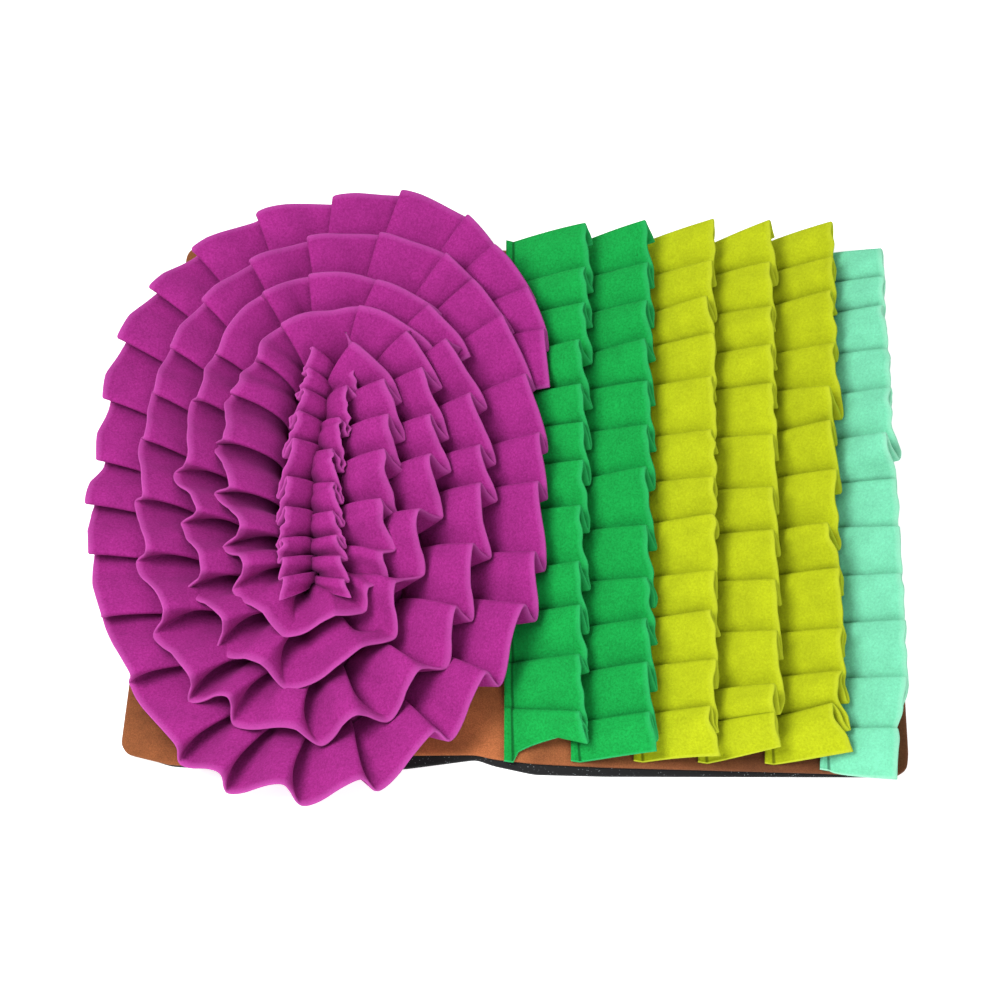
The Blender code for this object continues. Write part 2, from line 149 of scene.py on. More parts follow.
def noise(nodes, links, place, scale, detail=2.0, roughness=0.5):
    """Uneven values from 0 to 1; scale is in patches to a metre."""
    texture = nodes.new("ShaderNodeTexNoise")
    links.new(place, texture.inputs["Vector"])
    texture.inputs["Scale"].default_value = scale
    texture.inputs["Detail"].default_value = detail
    texture.inputs["Roughness"].default_value = roughness
    return texture.outputs["Fac"]


def grey(level):
    return (level,) * 3


def ramp(nodes, links, value, stops):
    """A colour for each value: stops are (value, colour)."""
    node = nodes.new("ShaderNodeValToRGB")
    links.new(value, node.inputs["Fac"])
    elements = node.color_ramp.elements
    while len(elements) < len(stops):
        elements.new(0.5)
    for element, (position, colour) in zip(elements, stops):
        element.position = position
        element.color = (*colour, 1.0)
    return node.outputs["Color"]


MIX_SHARE, MIX_FIRST, MIX_SECOND, MIX_RESULT = 0, 6, 7, 2  # a mix node's sockets for colours


def mixed(nodes, links, share, first, second, blend="MIX"):
    """The second colour blended over the first; each value is a socket, a colour or a number."""
    node = nodes.new("ShaderNodeMix")
    node.data_type = "RGBA"
    node.blend_type = blend
    for number, value in ((MIX_SHARE, share), (MIX_FIRST, first), (MIX_SECOND, second)):
        socket = node.inputs[number]
        if hasattr(value, "is_linked"):
            links.new(value, socket)
        elif isinstance(value, tuple):
            socket.default_value = (*value, 1.0)
        else:
            socket.default_value = value
    return node.outputs[MIX_RESULT]


def bumped(nodes, links, shader, height, strength, distance):
    """Fine relief from a run of heights; distance is in metres."""
    node = nodes.new("ShaderNodeBump")
    links.new(height, node.inputs["Height"])
    node.inputs["Strength"].default_value = strength
    node.inputs["Distance"].default_value = distance
    links.new(node.outputs["Normal"], shader.inputs["Normal"])


GRIP_DOT_SCALE = 520.0  # dots to a metre
GRIP_DOT_SIZE = 0.14
GRIP_DOT_BLUR = 0.08
GRIP_DOT_GREY = (0.20, 0.22, 0.23)
BACKING_BLACK = (0.005, 0.005, 0.006)
DOT_PATCH_SCALE = 90.0
BACKING_WEAVE_SCALE = 1400.0

backing_cloth, nodes, links, shader, place = node_material("backing cloth", 0.62)
dots = nodes.new("ShaderNodeTexVoronoi")
links.new(place, dots.inputs["Vector"])
dots.inputs["Scale"].default_value = GRIP_DOT_SCALE
dot_edge = ramp(
    nodes, links, dots.outputs["Distance"],
    ((GRIP_DOT_SIZE, GRIP_DOT_GREY), (GRIP_DOT_SIZE + GRIP_DOT_BLUR, BACKING_BLACK)),
)
patches = noise(nodes, links, place, DOT_PATCH_SCALE)
patchy = ramp(nodes, links, patches, ((0.45, grey(0.0)), (0.62, grey(1.0))))
links.new(mixed(nodes, links, patchy, BACKING_BLACK, dot_edge), shader.inputs["Base Color"])
bumped(nodes, links, shader, noise(nodes, links, place, BACKING_WEAVE_SCALE), 0.3, 0.0004)
backing_outline = rounded_outline(base_outline(BACKING_FRONT, BACKING_INSET))
backing = base_panel("backing", backing_outline, BACKING_LEVELS, backing_cloth)
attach(backing, "root")
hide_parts("base_backing")

# ---------------------------------------------------------------- base top
# The mat's suede top with a thin wadding under it, its edge turned in and plump.
# It is sewn to the backing all round and carries the strips, each sewn to it by one edge.
BASE_TOP = 7.6
TURNED_EDGE = (  # height, inset
    (3.9, 1.2), (4.3, 0.5), (5.0, 0.1), (5.8, 0.0), (6.5, 0.3), (7.1, 1.0), (7.45, 2.0),
    (BASE_TOP, 3.4),
)
# Painted light and shade: the suede is lighter between the ovals and the rows, darker towards its left
# end and under the rows.
SUEDE_SPAN = (-0.30, 0.13)  # metres, from the left end to the middle of the rows
SUEDE_PAINTED_LIGHT_STOPS = (  # share of the way along that span, colour with painted light and shade
    (0.0, (0.24, 0.078, 0.026)), (0.60, (0.46, 0.145, 0.050)), (1.0, (0.18, 0.060, 0.024)),
)
SUEDE_NAP_SCALE = 1100.0
SUEDE_CLOUD_SCALE = 26.0
SUEDE_SHEEN = (0.9, 0.6, 0.4, 1.0)


def multiplied(nodes, links, colour, shade):
    return mixed(nodes, links, 1.0, colour, shade, "MULTIPLY")


suede, nodes, links, shader, place = node_material("suede", 0.9)
nap = noise(nodes, links, place, SUEDE_NAP_SCALE, 3.0, 0.65)
cloud = noise(nodes, links, place, SUEDE_CLOUD_SCALE, 3.0)
split = nodes.new("ShaderNodeSeparateXYZ")
links.new(place, split.inputs[0])
# The suede's colour across the mat carries painted light and shade; the nap and cloud give its own uneven
# tone.
across_mat = nodes.new("ShaderNodeMapRange")
links.new(split.outputs["X"], across_mat.inputs["Value"])
across_mat.inputs["From Min"].default_value = SUEDE_SPAN[0]
across_mat.inputs["From Max"].default_value = SUEDE_SPAN[1]
suede_with_painted_light = ramp(nodes, links, across_mat.outputs["Result"], SUEDE_PAINTED_LIGHT_STOPS)
fine = ramp(nodes, links, nap, ((0.3, grey(0.62)), (0.7, grey(1.20))))
soft = ramp(nodes, links, cloud, ((0.36, grey(0.74)), (0.62, grey(1.12))))
napped_with_painted_light = multiplied(nodes, links, suede_with_painted_light, fine)
links.new(multiplied(nodes, links, napped_with_painted_light, soft), shader.inputs["Base Color"])
shader.inputs["Sheen Weight"].default_value = 0.2
shader.inputs["Sheen Roughness"].default_value = 0.5
shader.inputs["Sheen Tint"].default_value = SUEDE_SHEEN
bumped(nodes, links, shader, nap, 0.35, 0.0005)
top = base_panel("suede_top", rounded_outline(base_outline(SUEDE_FRONT, 0.0)), TURNED_EDGE, suede)
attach(top, "root")
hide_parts("base_top")

# ---------------------------------------------------------------- straight rows
# Six strips of fleece, knife-pleated and sewn along their left edge, each leaning over the next one.
# The folds lie flat at the stitches and roll open towards the free edge, which is cut and not hemmed.
GAP = 0.3  # between the suede and the strip
CLOTH = 2.2  # thickness
LAYER = 2.75  # from one folded layer to the next
OVERLAP = 17.0  # cloth folded under at the stitches
SHORTEST_RISE = 6.0  # least length of a fold that is left uncovered at the stitches
STEP_ASIDE = 2.1  # half the length over which a layer steps up onto the fold before it
OPENING_ANGLE = 23.0  # degrees that a fold of openness 1 rolls up at its free edge
FAN_ANGLE = 14.0  # degrees added where the free edge is twice as long as the stitches
MOST_ANGLE = 80.0
SLACK = 1.06  # least length of cloth in a half fold, against the half fold's width
SEAM_ALLOWANCE = 7.0
SEAM_CURL = 2.5  # how far the cut edge behind the stitches turns up
STITCH_HEIGHT = BASE_TOP + GAP + CLOTH / 2
OPEN_BENDS = ((0.32, 0.24), (0.74, 0.96))  # of an open fold's top layer: share of its width, its rise
CREST_HEIGHT = 14.0  # height of a fold at which it takes the whole outward flare
CREST_LEVEL = 0.35  # share of that height which the flare leaves in place
SEGMENT_STEPS = (4, 9, 4, 5, 8, 5)  # tail, rise, crest, fold, under layer, turn
FOLD_SEGMENT = 3
TURN_SEGMENT = 5
SOFTENING_REACH = 7  # points to each side
SEWN_SOFTNESS = 0.7  # of the folds at the stitches, in points
HIDDEN_STATIONS = (-1.0, -0.5)  # behind the stitches, as shares of the seam allowance
SLOPE_REACH = 0.02  # share of the width to each side over which a strip's lean is taken
LEAN_REACHED = 0.2  # share of the width by which the folds stand square to the strip's lean
RAGGED_WAVES = (14, 30)  # fewest and most waves along a strip, of its uneven free edge
SWAY_WAVES = (5, 16)  # and of its uneven height
RIM_ROUNDING = 0.45  # how far the cut edge rounds out, in thicknesses
RIM_HIGHLIGHT_SHOULDER = 0.55  # how much of the painted highlight on the cut edge shows beside it
RIM_HIGHLIGHT_END = 0.8  # and at the strip's ends


def extended(values, known, results):
    """Linear interpolation that runs on past both ends."""
    values = np.asarray(values, dtype=float)
    inside = np.interp(values, known, results)
    first = (results[1] - results[0]) / (known[1] - known[0])
    last = (results[-1] - results[-2]) / (known[-1] - known[-2])
    before = np.minimum(values - known[0], 0.0) * first
    return inside + before + np.maximum(values - known[-1], 0.0) * last


class StitchLine:
    """A line that a strip is sewn along: points, distance along it and which way its outer side faces."""

    def __init__(self, x, y):
        self.x = x
        self.y = y
        self.out = np.unwrap(np.arctan2(np.gradient(y), np.gradient(x)) - math.pi / 2)
        self.along = np.r_[0.0, np.cumsum(np.hypot(np.diff(x), np.diff(y)))]

    def parallel(self, distance):
        """Length along a line beside this one, at each of its points, for the distance there."""
        turned = np.diff(self.out)
        between = (distance[1:] + distance[:-1]) / 2
        return self.along + np.r_[0.0, np.cumsum(between * turned)]

    def at(self, places, lengths):
        """x, y and outer bearing of the stitch line beside places along a parallel line."""
        x, y = (extended(places, lengths, values) for values in (self.x, self.y))
        return x, y, np.interp(places, lengths, self.out)


def pleat_points(folds, roots, cuts, overlap, openness, roll_shares):
    """A strip's middle line at one station, as six points of (place, height) for each pleat.

    folds are the folds' places here and roots the same at the stitches. cuts are where the strip
    starts, here and at the stitches. overlap is the cloth folded under, openness how far this station
    is from the stitches and roll_shares how far each fold stands open.
    """
    pitch = np.diff(folds, prepend=cuts[0])
    root_pitch = np.diff(roots, prepend=cuts[1])
    under = np.minimum(overlap, root_pitch - SHORTEST_RISE)
    before = np.r_[0.0, under[:-1]]
    half_cloth = (root_pitch + before + under) / 2
    half_way = pitch / 2
    spread = np.maximum(pitch / root_pitch - 1, 0.0)
    roll = np.minimum(openness * roll_shares * (OPENING_ANGLE + FAN_ANGLE * spread), MOST_ANGLE)
    roll = np.radians(roll)
    half = np.maximum(half_cloth, SLACK * half_way)
    overlap = under + (half * np.cos(roll) - half_way) - (half_cloth - root_pitch / 2)
    height = np.sqrt(half**2 - half_way**2) * np.sin(roll)
    ends = folds - overlap
    tails = np.r_[cuts[0], ends[:-1]]

    climb = np.arctan2(height, folds - tails)
    fall = np.arctan2(-height, -overlap)
    fold_turn = (climb + fall) / 2
    end_turn = (fall + np.r_[climb[1:], climb[0]]) / 2
    tail_turn = np.roll(end_turn, 1)
    half_layer = LAYER / 2
    tail = np.stack([tails + half_layer * np.cos(tail_turn), half_layer * (1 + np.sin(tail_turn))])
    end = np.stack([ends - half_layer * np.cos(end_turn), half_layer * (1 - np.sin(end_turn))])
    corner = np.stack([half_layer * np.cos(fold_turn), half_layer * np.sin(fold_turn)])
    middle = np.stack([folds, 3 * half_layer + height])
    fold_top, fold_bottom = middle - corner, middle + corner
    tail[:, 0] = (cuts[0], 0.0)
    end[:, -1] = (ends[-1], LAYER)
    width = fold_top - tail
    closed_width = root_pitch + before
    closed_bends = (
        ((before + STEP_ASIDE) / closed_width, 0.0),
        ((root_pitch + before - under - STEP_ASIDE) / closed_width, 1.0),
    )
    bends = []
    for (share, rise), (free_share, free_rise) in zip(closed_bends, OPEN_BENDS):
        along = share * (1 - openness) + free_share * openness
        up = rise * (1 - openness) + free_rise * openness
        bends.append(tail + width * np.stack([along, np.full_like(along, up)]))
    return np.stack([tail, bends[0], bends[1], fold_top, fold_bottom, end], axis=2)


def rounded_section(points, softness):
    """The middle line as a smooth run of close points: folds turned on a half circle, then softened."""
    runs = []
    for pleat in range(points.shape[1]):
        corners = points[:, pleat, :]
        after = points[:, pleat + 1, 0] if pleat + 1 < points.shape[1] else corners[:, 5]
        ring = np.c_[corners, after]
        for number, steps in enumerate(SEGMENT_STEPS):
            start, stop = ring[:, number], ring[:, number + 1]
            share = np.arange(steps) / steps
            if number in (FOLD_SEGMENT, TURN_SEGMENT):
                half = (start - stop) / 2
                side = np.array([half[1], -half[0]]) * (1 if number == FOLD_SEGMENT else -1)
                turn = share * math.pi
                centre = (start + stop)[:, None] / 2
                run = centre + np.outer(half, np.cos(turn)) + np.outer(side, np.sin(turn))
            else:
                run = start[:, None] + np.outer(stop - start, share)
            runs.append(run)
    section = np.concatenate(runs, axis=1)[:, : -SEGMENT_STEPS[TURN_SEGMENT] + 1]
    reach = SOFTENING_REACH
    steps = np.arange(-reach, reach + 1)
    shares = np.exp(-0.5 * (steps / softness) ** 2)
    shares /= shares.sum()
    count = section.shape[1]
    head = 2 * section[:, :1] - section[:, reach:0:-1]
    foot = 2 * section[:, -1:] - section[:, -2 : -reach - 2 : -1]
    padded = np.c_[head, section, foot]
    starts = reach + steps
    return sum(share * padded[:, first : first + count] for share, first in zip(shares, starts))


def section_normals(section):
    """The unit direction out of the cloth's upper side, at each point of its middle line."""
    step = np.gradient(section, axis=1)
    step = step / np.hypot(*step)
    return np.stack([-step[1], step[0]])


def uneven(share, seed, waves):
    """A smooth, uneven run about zero, of about unit size, for shares from 0 to 1 round a strip."""
    dice = np.random.default_rng(seed)
    total = np.zeros_like(share)
    for number in range(waves[0], waves[1]):
        total += dice.normal() * np.sin(2 * math.pi * (number * share + dice.random()))
    return total / math.sqrt((waves[1] - waves[0]) / 2)


def strip_solid(name, line, roots, tips, cuts, shape, material):
    """A pleated strip as a closed solid of cloth, built in stations from its sewn to its free edge.

    roots and tips are where its folds are at the stitches and at the free edge, and cuts where it
    starts, at the free edge and at the stitches. shape holds how it lies: reach and rise say how far the
    free edge is out from the stitches and above them, bend_out and bend_up how much of that it has
    reached half way, opening, jog and flare how far each fold stands open, sits out and has its crest
    pushed out, softness how round the folds are, ragged, sway and untidy how uneven all this is, droop
    how far the free edge sinks, and end_curve how the cut at the strip's start runs. A mirrored strip is
    built on the other side of x = 0 and turned over.
    """
    dice = np.random.default_rng(shape["seed"])
    shares = shape["opening"] * (1 + shape["untidy"] * dice.uniform(-1, 1, len(roots)))
    half_way = math.log(0.5)
    bend_power = np.log(shape["bend_out"]) / half_way
    rise_power = np.log(shape["bend_up"]) / half_way
    sides = ([], [])
    rim = None
    for station in [*HIDDEN_STATIONS, *np.linspace(0.0, 1.0, shape["stations"])]:
        openness = max(station, 0.0)
        run_out = shape["reach"] * openness**bend_power
        run_up = shape["rise"] * openness**rise_power
        lengths = line.parallel(run_out)
        folds = extended(roots + openness * (tips - roots), line.along, lengths)
        cut_place = cuts[1] + openness ** shape["end_curve"] * (cuts[0] - cuts[1])
        cut = (extended(cut_place, line.along, lengths), cuts[1])
        points = pleat_points(folds, roots, cut, shape["overlap"], openness, shares)
        section = rounded_section(points, SEWN_SOFTNESS + shape["softness"] * openness)
        normal = section_normals(section)
        x, y, bearing = line.at(section[0], lengths)
        inside = np.clip(extended(section[0], lengths, line.along), 0.0, line.along[-1])
        low, high = max(openness - SLOPE_REACH, 0.0), min(openness + SLOPE_REACH, 1.0)
        step_out = shape["reach"] * (high**bend_power - low**bend_power)
        step_up = shape["rise"] * (high**rise_power - low**rise_power)
        lean = np.interp(inside, line.along, np.arctan2(step_up, step_out))
        tilt = lean * (0.5 + 0.5 * min(openness / LEAN_REACHED, 1.0))
        share = inside / line.along[-1]
        away = np.interp(inside, line.along, run_out) + openness * np.interp(inside, tips, shape["jog"])
        away += openness * shape["ragged"] * uneven(share, shape["seed"], RAGGED_WAVES)
        height = np.interp(inside, line.along, run_up)
        height += openness**2 * shape["sway"] * uneven(share, shape["seed"] + 1, SWAY_WAVES)
        if station < 0:
            tilt = np.zeros_like(tilt)
            away = np.full_like(away, station * shape["seam_allowance"])
            height = np.full_like(height, -station * shape["seam_curl"])
        crest = np.clip(section[1] / CREST_HEIGHT, 0.0, 1.0) - CREST_LEVEL
        away += openness * np.interp(inside, tips, shape["flare"]) * crest
        outward = np.stack([np.cos(bearing), np.sin(bearing), np.zeros_like(bearing)])
        forward = np.stack([-np.sin(bearing), np.cos(bearing), np.zeros_like(bearing)])
        up = np.array([0.0, 0.0, 1.0])[:, None]
        across = np.cos(tilt) * up - np.sin(tilt) * outward
        edgeward = np.sin(tilt) * up + np.cos(tilt) * outward
        droop = shape["droop"] * openness**3
        middle = np.stack([x, y, np.full_like(x, STITCH_HEIGHT)])
        middle = middle + outward * away + up * height + across * (section[1] - droop)
        thick = CLOTH / 2 * (forward * normal[0] + across * normal[1])
        sides[0].append((middle + thick).T)
        sides[1].append((middle - thick).T)
        rim = (middle + RIM_ROUNDING * CLOTH * edgeward).T
    rows = sides[0] + [rim] + sides[1][::-1]
    count = rows[0].shape[0]
    depth = len(sides[0])
    faces = []
    for row in range(len(rows)):
        here, after = row * count, (row + 1) % len(rows) * count
        for place in range(count - 1):
            faces.append((here + place, after + place, after + place + 1, here + place + 1))
    for end in (0, count - 1):
        for row in range(depth - 1):
            near, far = row * count + end, (len(rows) - 1 - row) * count + end
            quad = [near, far, far - count, near + count]
            faces.append(tuple(quad if end == 0 else quad[::-1]))
        last = [(depth - 1) * count + end, (depth + 1) * count + end, depth * count + end]
        faces.append(tuple(last if end == 0 else last[::-1]))
    points = np.vstack(rows)
    if shape["mirrored"]:
        points = points * np.array([-1.0, 1.0, 1.0])
        faces = [face[::-1] for face in faces]
    piece = new_object(name, points, faces, material)
    # Masks for the fleece's painted highlight on its cut edge and its painted shade along the stitches.
    rim_highlight_share, seam = np.zeros((len(rows), count)), np.zeros((len(rows), count))
    rim_highlight_share[depth] = 1.0
    rim_highlight_share[depth - 1] = rim_highlight_share[depth + 1] = RIM_HIGHLIGHT_SHOULDER
    rim_highlight_share[:, 0] = rim_highlight_share[:, -1] = RIM_HIGHLIGHT_END
    seam[len(HIDDEN_STATIONS)] = 1.0
    for label, values in (("rim_highlight_share", rim_highlight_share), ("seam", seam)):
        piece.data.attributes.new(label, "FLOAT", "POINT").data.foreach_set("value", values.ravel())
    return piece


FLEECE_NAP_SCALE = 560.0
FLEECE_CLOUD_SCALE = 55.0
PAINTED_SHADE_REACH = 0.016
SEAM_SHADE = 0.40


def fleece(name, pale, deep, edge, crease_shade):
    """Brushed fleece: a mottled nap, painted shade in its creases and at its stitches, a painted
    highlight where it is cut.
    """
    material, nodes, links, shader, place = node_material(name, 0.95)
    nap = noise(nodes, links, place, FLEECE_NAP_SCALE, 4.0, 0.8)
    cloud = noise(nodes, links, place, FLEECE_CLOUD_SCALE)
    speckle = ramp(nodes, links, nap, ((0.32, deep), (0.68, pale)))
    shade = ramp(nodes, links, cloud, ((0.3, grey(0.92)), (0.7, grey(1.06))))
    colour = multiplied(nodes, links, speckle, shade)
    # Painted shade: the colour is darkened where ambient occlusion finds creases and gaps.
    crease = nodes.new("ShaderNodeAmbientOcclusion")
    crease.samples = 6
    crease.inputs["Distance"].default_value = PAINTED_SHADE_REACH
    depth = ramp(nodes, links, crease.outputs["AO"], ((0.10, grey(crease_shade)), (0.70, grey(1.0))))
    colour = multiplied(nodes, links, colour, depth)
    # Painted shade: the colour darkens along the stitches, where the cloth dips into a groove.
    seam = nodes.new("ShaderNodeAttribute")
    seam.attribute_name = "seam"
    painted_seam_shade = ramp(nodes, links, seam.outputs["Fac"], ((0.50, grey(1.0)), (0.85, grey(SEAM_SHADE))))
    colour = multiplied(nodes, links, colour, painted_seam_shade)
    # Painted highlight: the cut edge is lightened towards the edge colour, for the light its fuzz
    # catches.
    rim_highlight_share = nodes.new("ShaderNodeAttribute")
    rim_highlight_share.attribute_name = "rim_highlight_share"
    links.new(mixed(nodes, links, rim_highlight_share.outputs["Fac"], colour, edge), shader.inputs["Base Color"])
    shader.inputs["Sheen Weight"].default_value = 0.22
    shader.inputs["Sheen Roughness"].default_value = 0.4
    shader.inputs["Sheen Tint"].default_value = (*edge, 1.0)
    bumped(nodes, links, shader, nap, 0.6, 0.0008)
    return material


ROW_ENDS = (-240.0, 242.0)  # front, back
ROW_COLUMNS = (
    "stitch_back", "stitch_front", "free_back", "free_front", "rise", "opening", "flare", "end_curve",
    "length",
)
ROWS = {
    "green_ruffle_1": (-8, -10, 58, 45, 21, 1.30, -2, 0.3, 0.92),
    "green_ruffle_2": (47, 41, 109, 98, 23, 1.20, -1, 1.0, 0.92),
    "lime_ruffle_1": (100, 89, 161, 146, 23, 1.15, 4, 2.0, 0.92),
    "lime_ruffle_2": (150, 138, 211, 194, 23, 1.15, 1, 1.3, 0.92),
    "lime_ruffle_3": (205, 189, 262, 243, 23, 1.1, 2, 1.5, 0.92),
    "mint_ruffle": (248, 231, 302, 292, 22, 1.0, 4, 0.7, 0.90),
}
STITCHED_FOLDS = (  # y of each fold from the back at the stitches, for the six rows
    (242, 240, 240, 234, 240, 228),
    (197, 202, 202, 202, 207, 196),
    (163, 165, 164, 164, 173, 164),
    (124, 124, 132, 125, 126, 124),
    (85, 91, 94, 90, 90, 84),
    (52, 50, 45, 45, 49, 41),
    (16, 6, 3, -4, 7, 1),
    (-25, -41, -36, -45, -42, -38),
    (-77, -87, -84, -87, -82, -83),
    (-116, -128, -121, -132, -133, -125),
    (-158, -167, -162, -182, -171, -172),
    (-197, -209, -203, -210, -205, -215),
    (-238, -238, -238, -239, -240, -245),
)
FREE_FOLDS = (  # and at the free edge
    (240, 240, 244, 242, 241, 213),
    (194, 198, 200, 198, 204, 185),
    (159, 159, 162, 155, 169, 157),
    (118, 121, 129, 116, 118, 117),
    (78, 83, 84, 80, 70, 76),
    (44, 40, 34, 31, 40, 26),
    (9, -2, -11, -19, -2, -8),
    (-35, -53, -43, -58, -55, -51),
    (-86, -99, -94, -100, -92, -94),
    (-123, -136, -128, -146, -144, -135),
    (-164, -174, -170, -194, -180, -185),
    (-213, -214, -208, -214, -206, -225),
    (-221, -239, -243, -236, -239, -262),
)
SINGLE_FOLDS = (  # row, number from the back, opening, how far it sits out, overlap, flare
    ("green_ruffle_1", 3, 1.8, 0, 17, -4), ("green_ruffle_1", 11, 1.5, 0, 4, -2),
    ("lime_ruffle_1", 2, 1.6, 0, 17, -3), ("lime_ruffle_1", 9, 1.4, 0, 17, 0),
    ("lime_ruffle_1", 11, 1.2, -2, 17, -4), ("lime_ruffle_2", 1, 1.4, 2, 17, -2),
    ("lime_ruffle_2", 10, 1.7, 2, 17, -2), ("lime_ruffle_2", 11, 1.2, -3, 17, 0),
    ("lime_ruffle_3", 4, 2.4, 3, 17, -4), ("lime_ruffle_3", 5, 1.4, -3, 17, 2),
    ("lime_ruffle_3", 7, 1.8, -3, 17, -3), ("lime_ruffle_3", 11, 1.3, -1, 17, -11),
    ("mint_ruffle", 2, 1.3, -1, 17, 2), ("mint_ruffle", 5, 1.7, 3, 17, -6),
    ("mint_ruffle", 10, 1.2, 0, 17, 2), ("mint_ruffle", 11, 1.3, -11, 17, 6),
)
FLEECES = {  # pale, deep, painted highlight of the cut edge, how dark the painted crease shade is
    "magenta": ((0.41, 0.027, 0.265), (0.24, 0.010, 0.143), (0.50, 0.075, 0.37), 0.50),
    "green": ((0.007, 0.41, 0.072), (0.003, 0.24, 0.037), (0.03, 0.48, 0.14), 0.08),
    "lime": ((0.50, 0.58, 0.009), (0.36, 0.41, 0.004), (0.56, 0.64, 0.03), 0.32),
    "mint": ((0.21, 0.73, 0.47), (0.15, 0.56, 0.34), (0.36, 0.80, 0.57), 0.40),
}
cloths = {name: fleece(name + " fleece", *colours) for name, colours in FLEECES.items()}


def row_strip(name, x, y, side, stitched, free, settings, material):
    """A row sewn along x, y that leans to the right, or for side -1, through a mirror, to the left."""
    line = StitchLine(side * x, y)
    shape = dict(settings, mirrored=side < 0)
    root = extended(stitched[::-1], line.y, line.along)
    tip = extended(free[::-1], line.y + shape["reach"] * np.sin(line.out), line.along)
    return strip_solid(name, line, root[1:], tip[1:], (tip[0], root[0]), shape, material)


for number, (node, sizes) in enumerate(ROWS.items()):
    row = dict(zip(ROW_COLUMNS, sizes))
    stitches = np.array([row["stitch_front"], row["stitch_back"]], float)
    every_fold = np.ones(len(FREE_FOLDS) - 1)
    settings = {
        "reach": np.array([row["free_front"], row["free_back"]], float) - stitches,
        "rise": np.full(2, float(row["rise"])), "bend_out": 0.5, "bend_up": 0.5,
        "seam_allowance": SEAM_ALLOWANCE, "seam_curl": SEAM_CURL, "seed": 20 + number, "untidy": 0.25,
        "softness": 1.0, "ragged": 0.5, "sway": 0.8, "droop": 1.5, "stations": 15,
        "end_curve": row["end_curve"], "opening": row["opening"] * every_fold, "jog": 0.0 * every_fold,
        "overlap": OVERLAP * every_fold, "flare": row["flare"] * every_fold,
    }
    for single, fold, *changes in SINGLE_FOLDS:
        if single == node:
            for column, change in zip(("opening", "jog", "overlap", "flare"), changes):
                settings[column][-1 - fold] = change
    colour = node.split("_")[0]
    piece = row_strip(
        node.replace("_ruffle", "_row"), stitches, np.array(ROW_ENDS), 1,
        [folds[number] for folds in STITCHED_FOLDS], [folds[number] for folds in FREE_FOLDS],
        settings, cloths[colour],
    )
    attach(piece, "root")
    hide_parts(node)

# ---------------------------------------------------------------- ovals
# A magenta strip sewn round and round in an oval, each turn inside the last, its free edge outwards.
# Its folds all face the same way round. They stand up more towards the middle and open widest in front.
TURN_COLUMNS = (
    "x", "y", "half_x", "half_y", "corner", "rise", "rise_right", "rise_back", "bend_out", "bend_up",
)
TURNS = (
    (-163.1, 3.7, 123.0, 215.8, 20, 19.5, 10, 5, 0.45, 0.55),
    (-166.9, 0.2, 87.0, 166.1, 16, 29.5, 6, 7, 0.40, 0.56),
    (-167.7, 2.6, 54.4, 132.6, 14, 38.0, 4, 9, 0.34, 0.58),
    (-168.0, 0.0, 28.2, 98.3, 12, 46.0, 3, 7, 0.20, 0.62),
    (-164.2, 1.9, 9.2, 84.9, 8, 50.0, 2, 5, 0.15, 0.63),
)
STEP_IN = (15.0, 115.0)  # bearings between which a turn moves in to the next
SWELL_BEARING = 48.0
SWELL_SPREAD = 22.0
SWELLS = (  # turns made, how far the line is pushed out at that bearing
    (0.3, 1, 2, 3, 4),
    (26.4, 2.8, 1.1, 13.1, 6.4),
)
FOLD_SLANT = 6.0  # how far a fold's stitches are ahead of its tip
OVAL_STRIP = 62.0
OVAL_OVERLAP = 20.0
OVAL_SEAM_ALLOWANCE = 12.0
START_BEARING = 24.0
START_TAIL = (8, 6)  # cloth before the start of a turn, at the free edge and at the stitches
LINE_RUN_ON = 12  # degrees of line past each end of a turn
LINE_POINTS = 1600
OVAL_FOLDS = (  # for each fold of each turn: bearing, how far it sits out
    (
        (35, 7), (43, 3), (52, -2), (59, 8), (73, 6), (89, -9), (106, -8), (122, -1), (135, 4),
        (149, 5), (163, -2), (177, -7), (187, -1), (198, 0), (212, 1), (227, -1), (245, 8), (255, 10),
        (266, 7), (279, 9), (295, 6), (311, 9), (327, 13), (339, 10), (355, 3), (366, 5), (380, 0),
        (395, 1),
    ),
    (
        (47, 0), (55, 3), (72, 0), (90, -1), (107, -1), (126, 0), (143, 2), (158, 0), (172, 0),
        (189, -1), (205, 2), (224, 3), (243, 12), (253, 4), (268, 9), (280, 12), (297, 12), (316, 11),
        (334, 8), (352, 6), (364, 6), (379, 3), (397, 0),
    ),
    (
        (51, 4), (68, -1), (90, -2), (104, 0), (135, -2), (157, 1), (183, 5), (202, -2), (226, 3),
        (246, 4), (261, 6), (282, 4), (306, -4), (335, 3), (357, 8), (375, 6), (395, 1), (409, 3),
    ),
    (
        (67, 6), (96, -2), (116, -6), (144, 4), (173, 6), (200, 2), (226, -2), (248, -1), (263, 3),
        (274, 5), (284, 4), (303, 3), (331, 2), (357, 4), (379, 5), (402, 3), (430, 2),
    ),
)
BEARINGS = (45, 90, 135, 180, 225, 270, 315, 360, 405)
OPENINGS = (  # how far the folds stand open at those bearings, for each turn
    (0.8, 0.8, 0.9, 1.1, 1.5, 1.9, 1.7, 1.4, 1.2),
    (1.0, 0.8, 1.0, 1.3, 1.8, 2.0, 2.0, 1.8, 1.4),
    (1.1, 0.8, 1.0, 1.5, 2.0, 2.1, 2.2, 2.0, 1.6),
    (1.1, 0.8, 1.2, 1.6, 2.1, 2.2, 2.3, 2.2, 1.8),
)
FLARES = (  # how much further out a fold's crest is than its tail
    (1, 4, 6, 9, 0, -3, -3, 1, 1),
    (0, 2, 2, -3, -8, -5, -5, -4, -3),
    (-1, 1, 0, -5, -9, -5, -6, -4, -3),
    (-1, 1, 0, -5, -9, -5, -6, -4, -3),
)
OVAL_SOFTNESS = (3.0, 2.6, 2.0, 1.5)  # how round the folds of each turn are


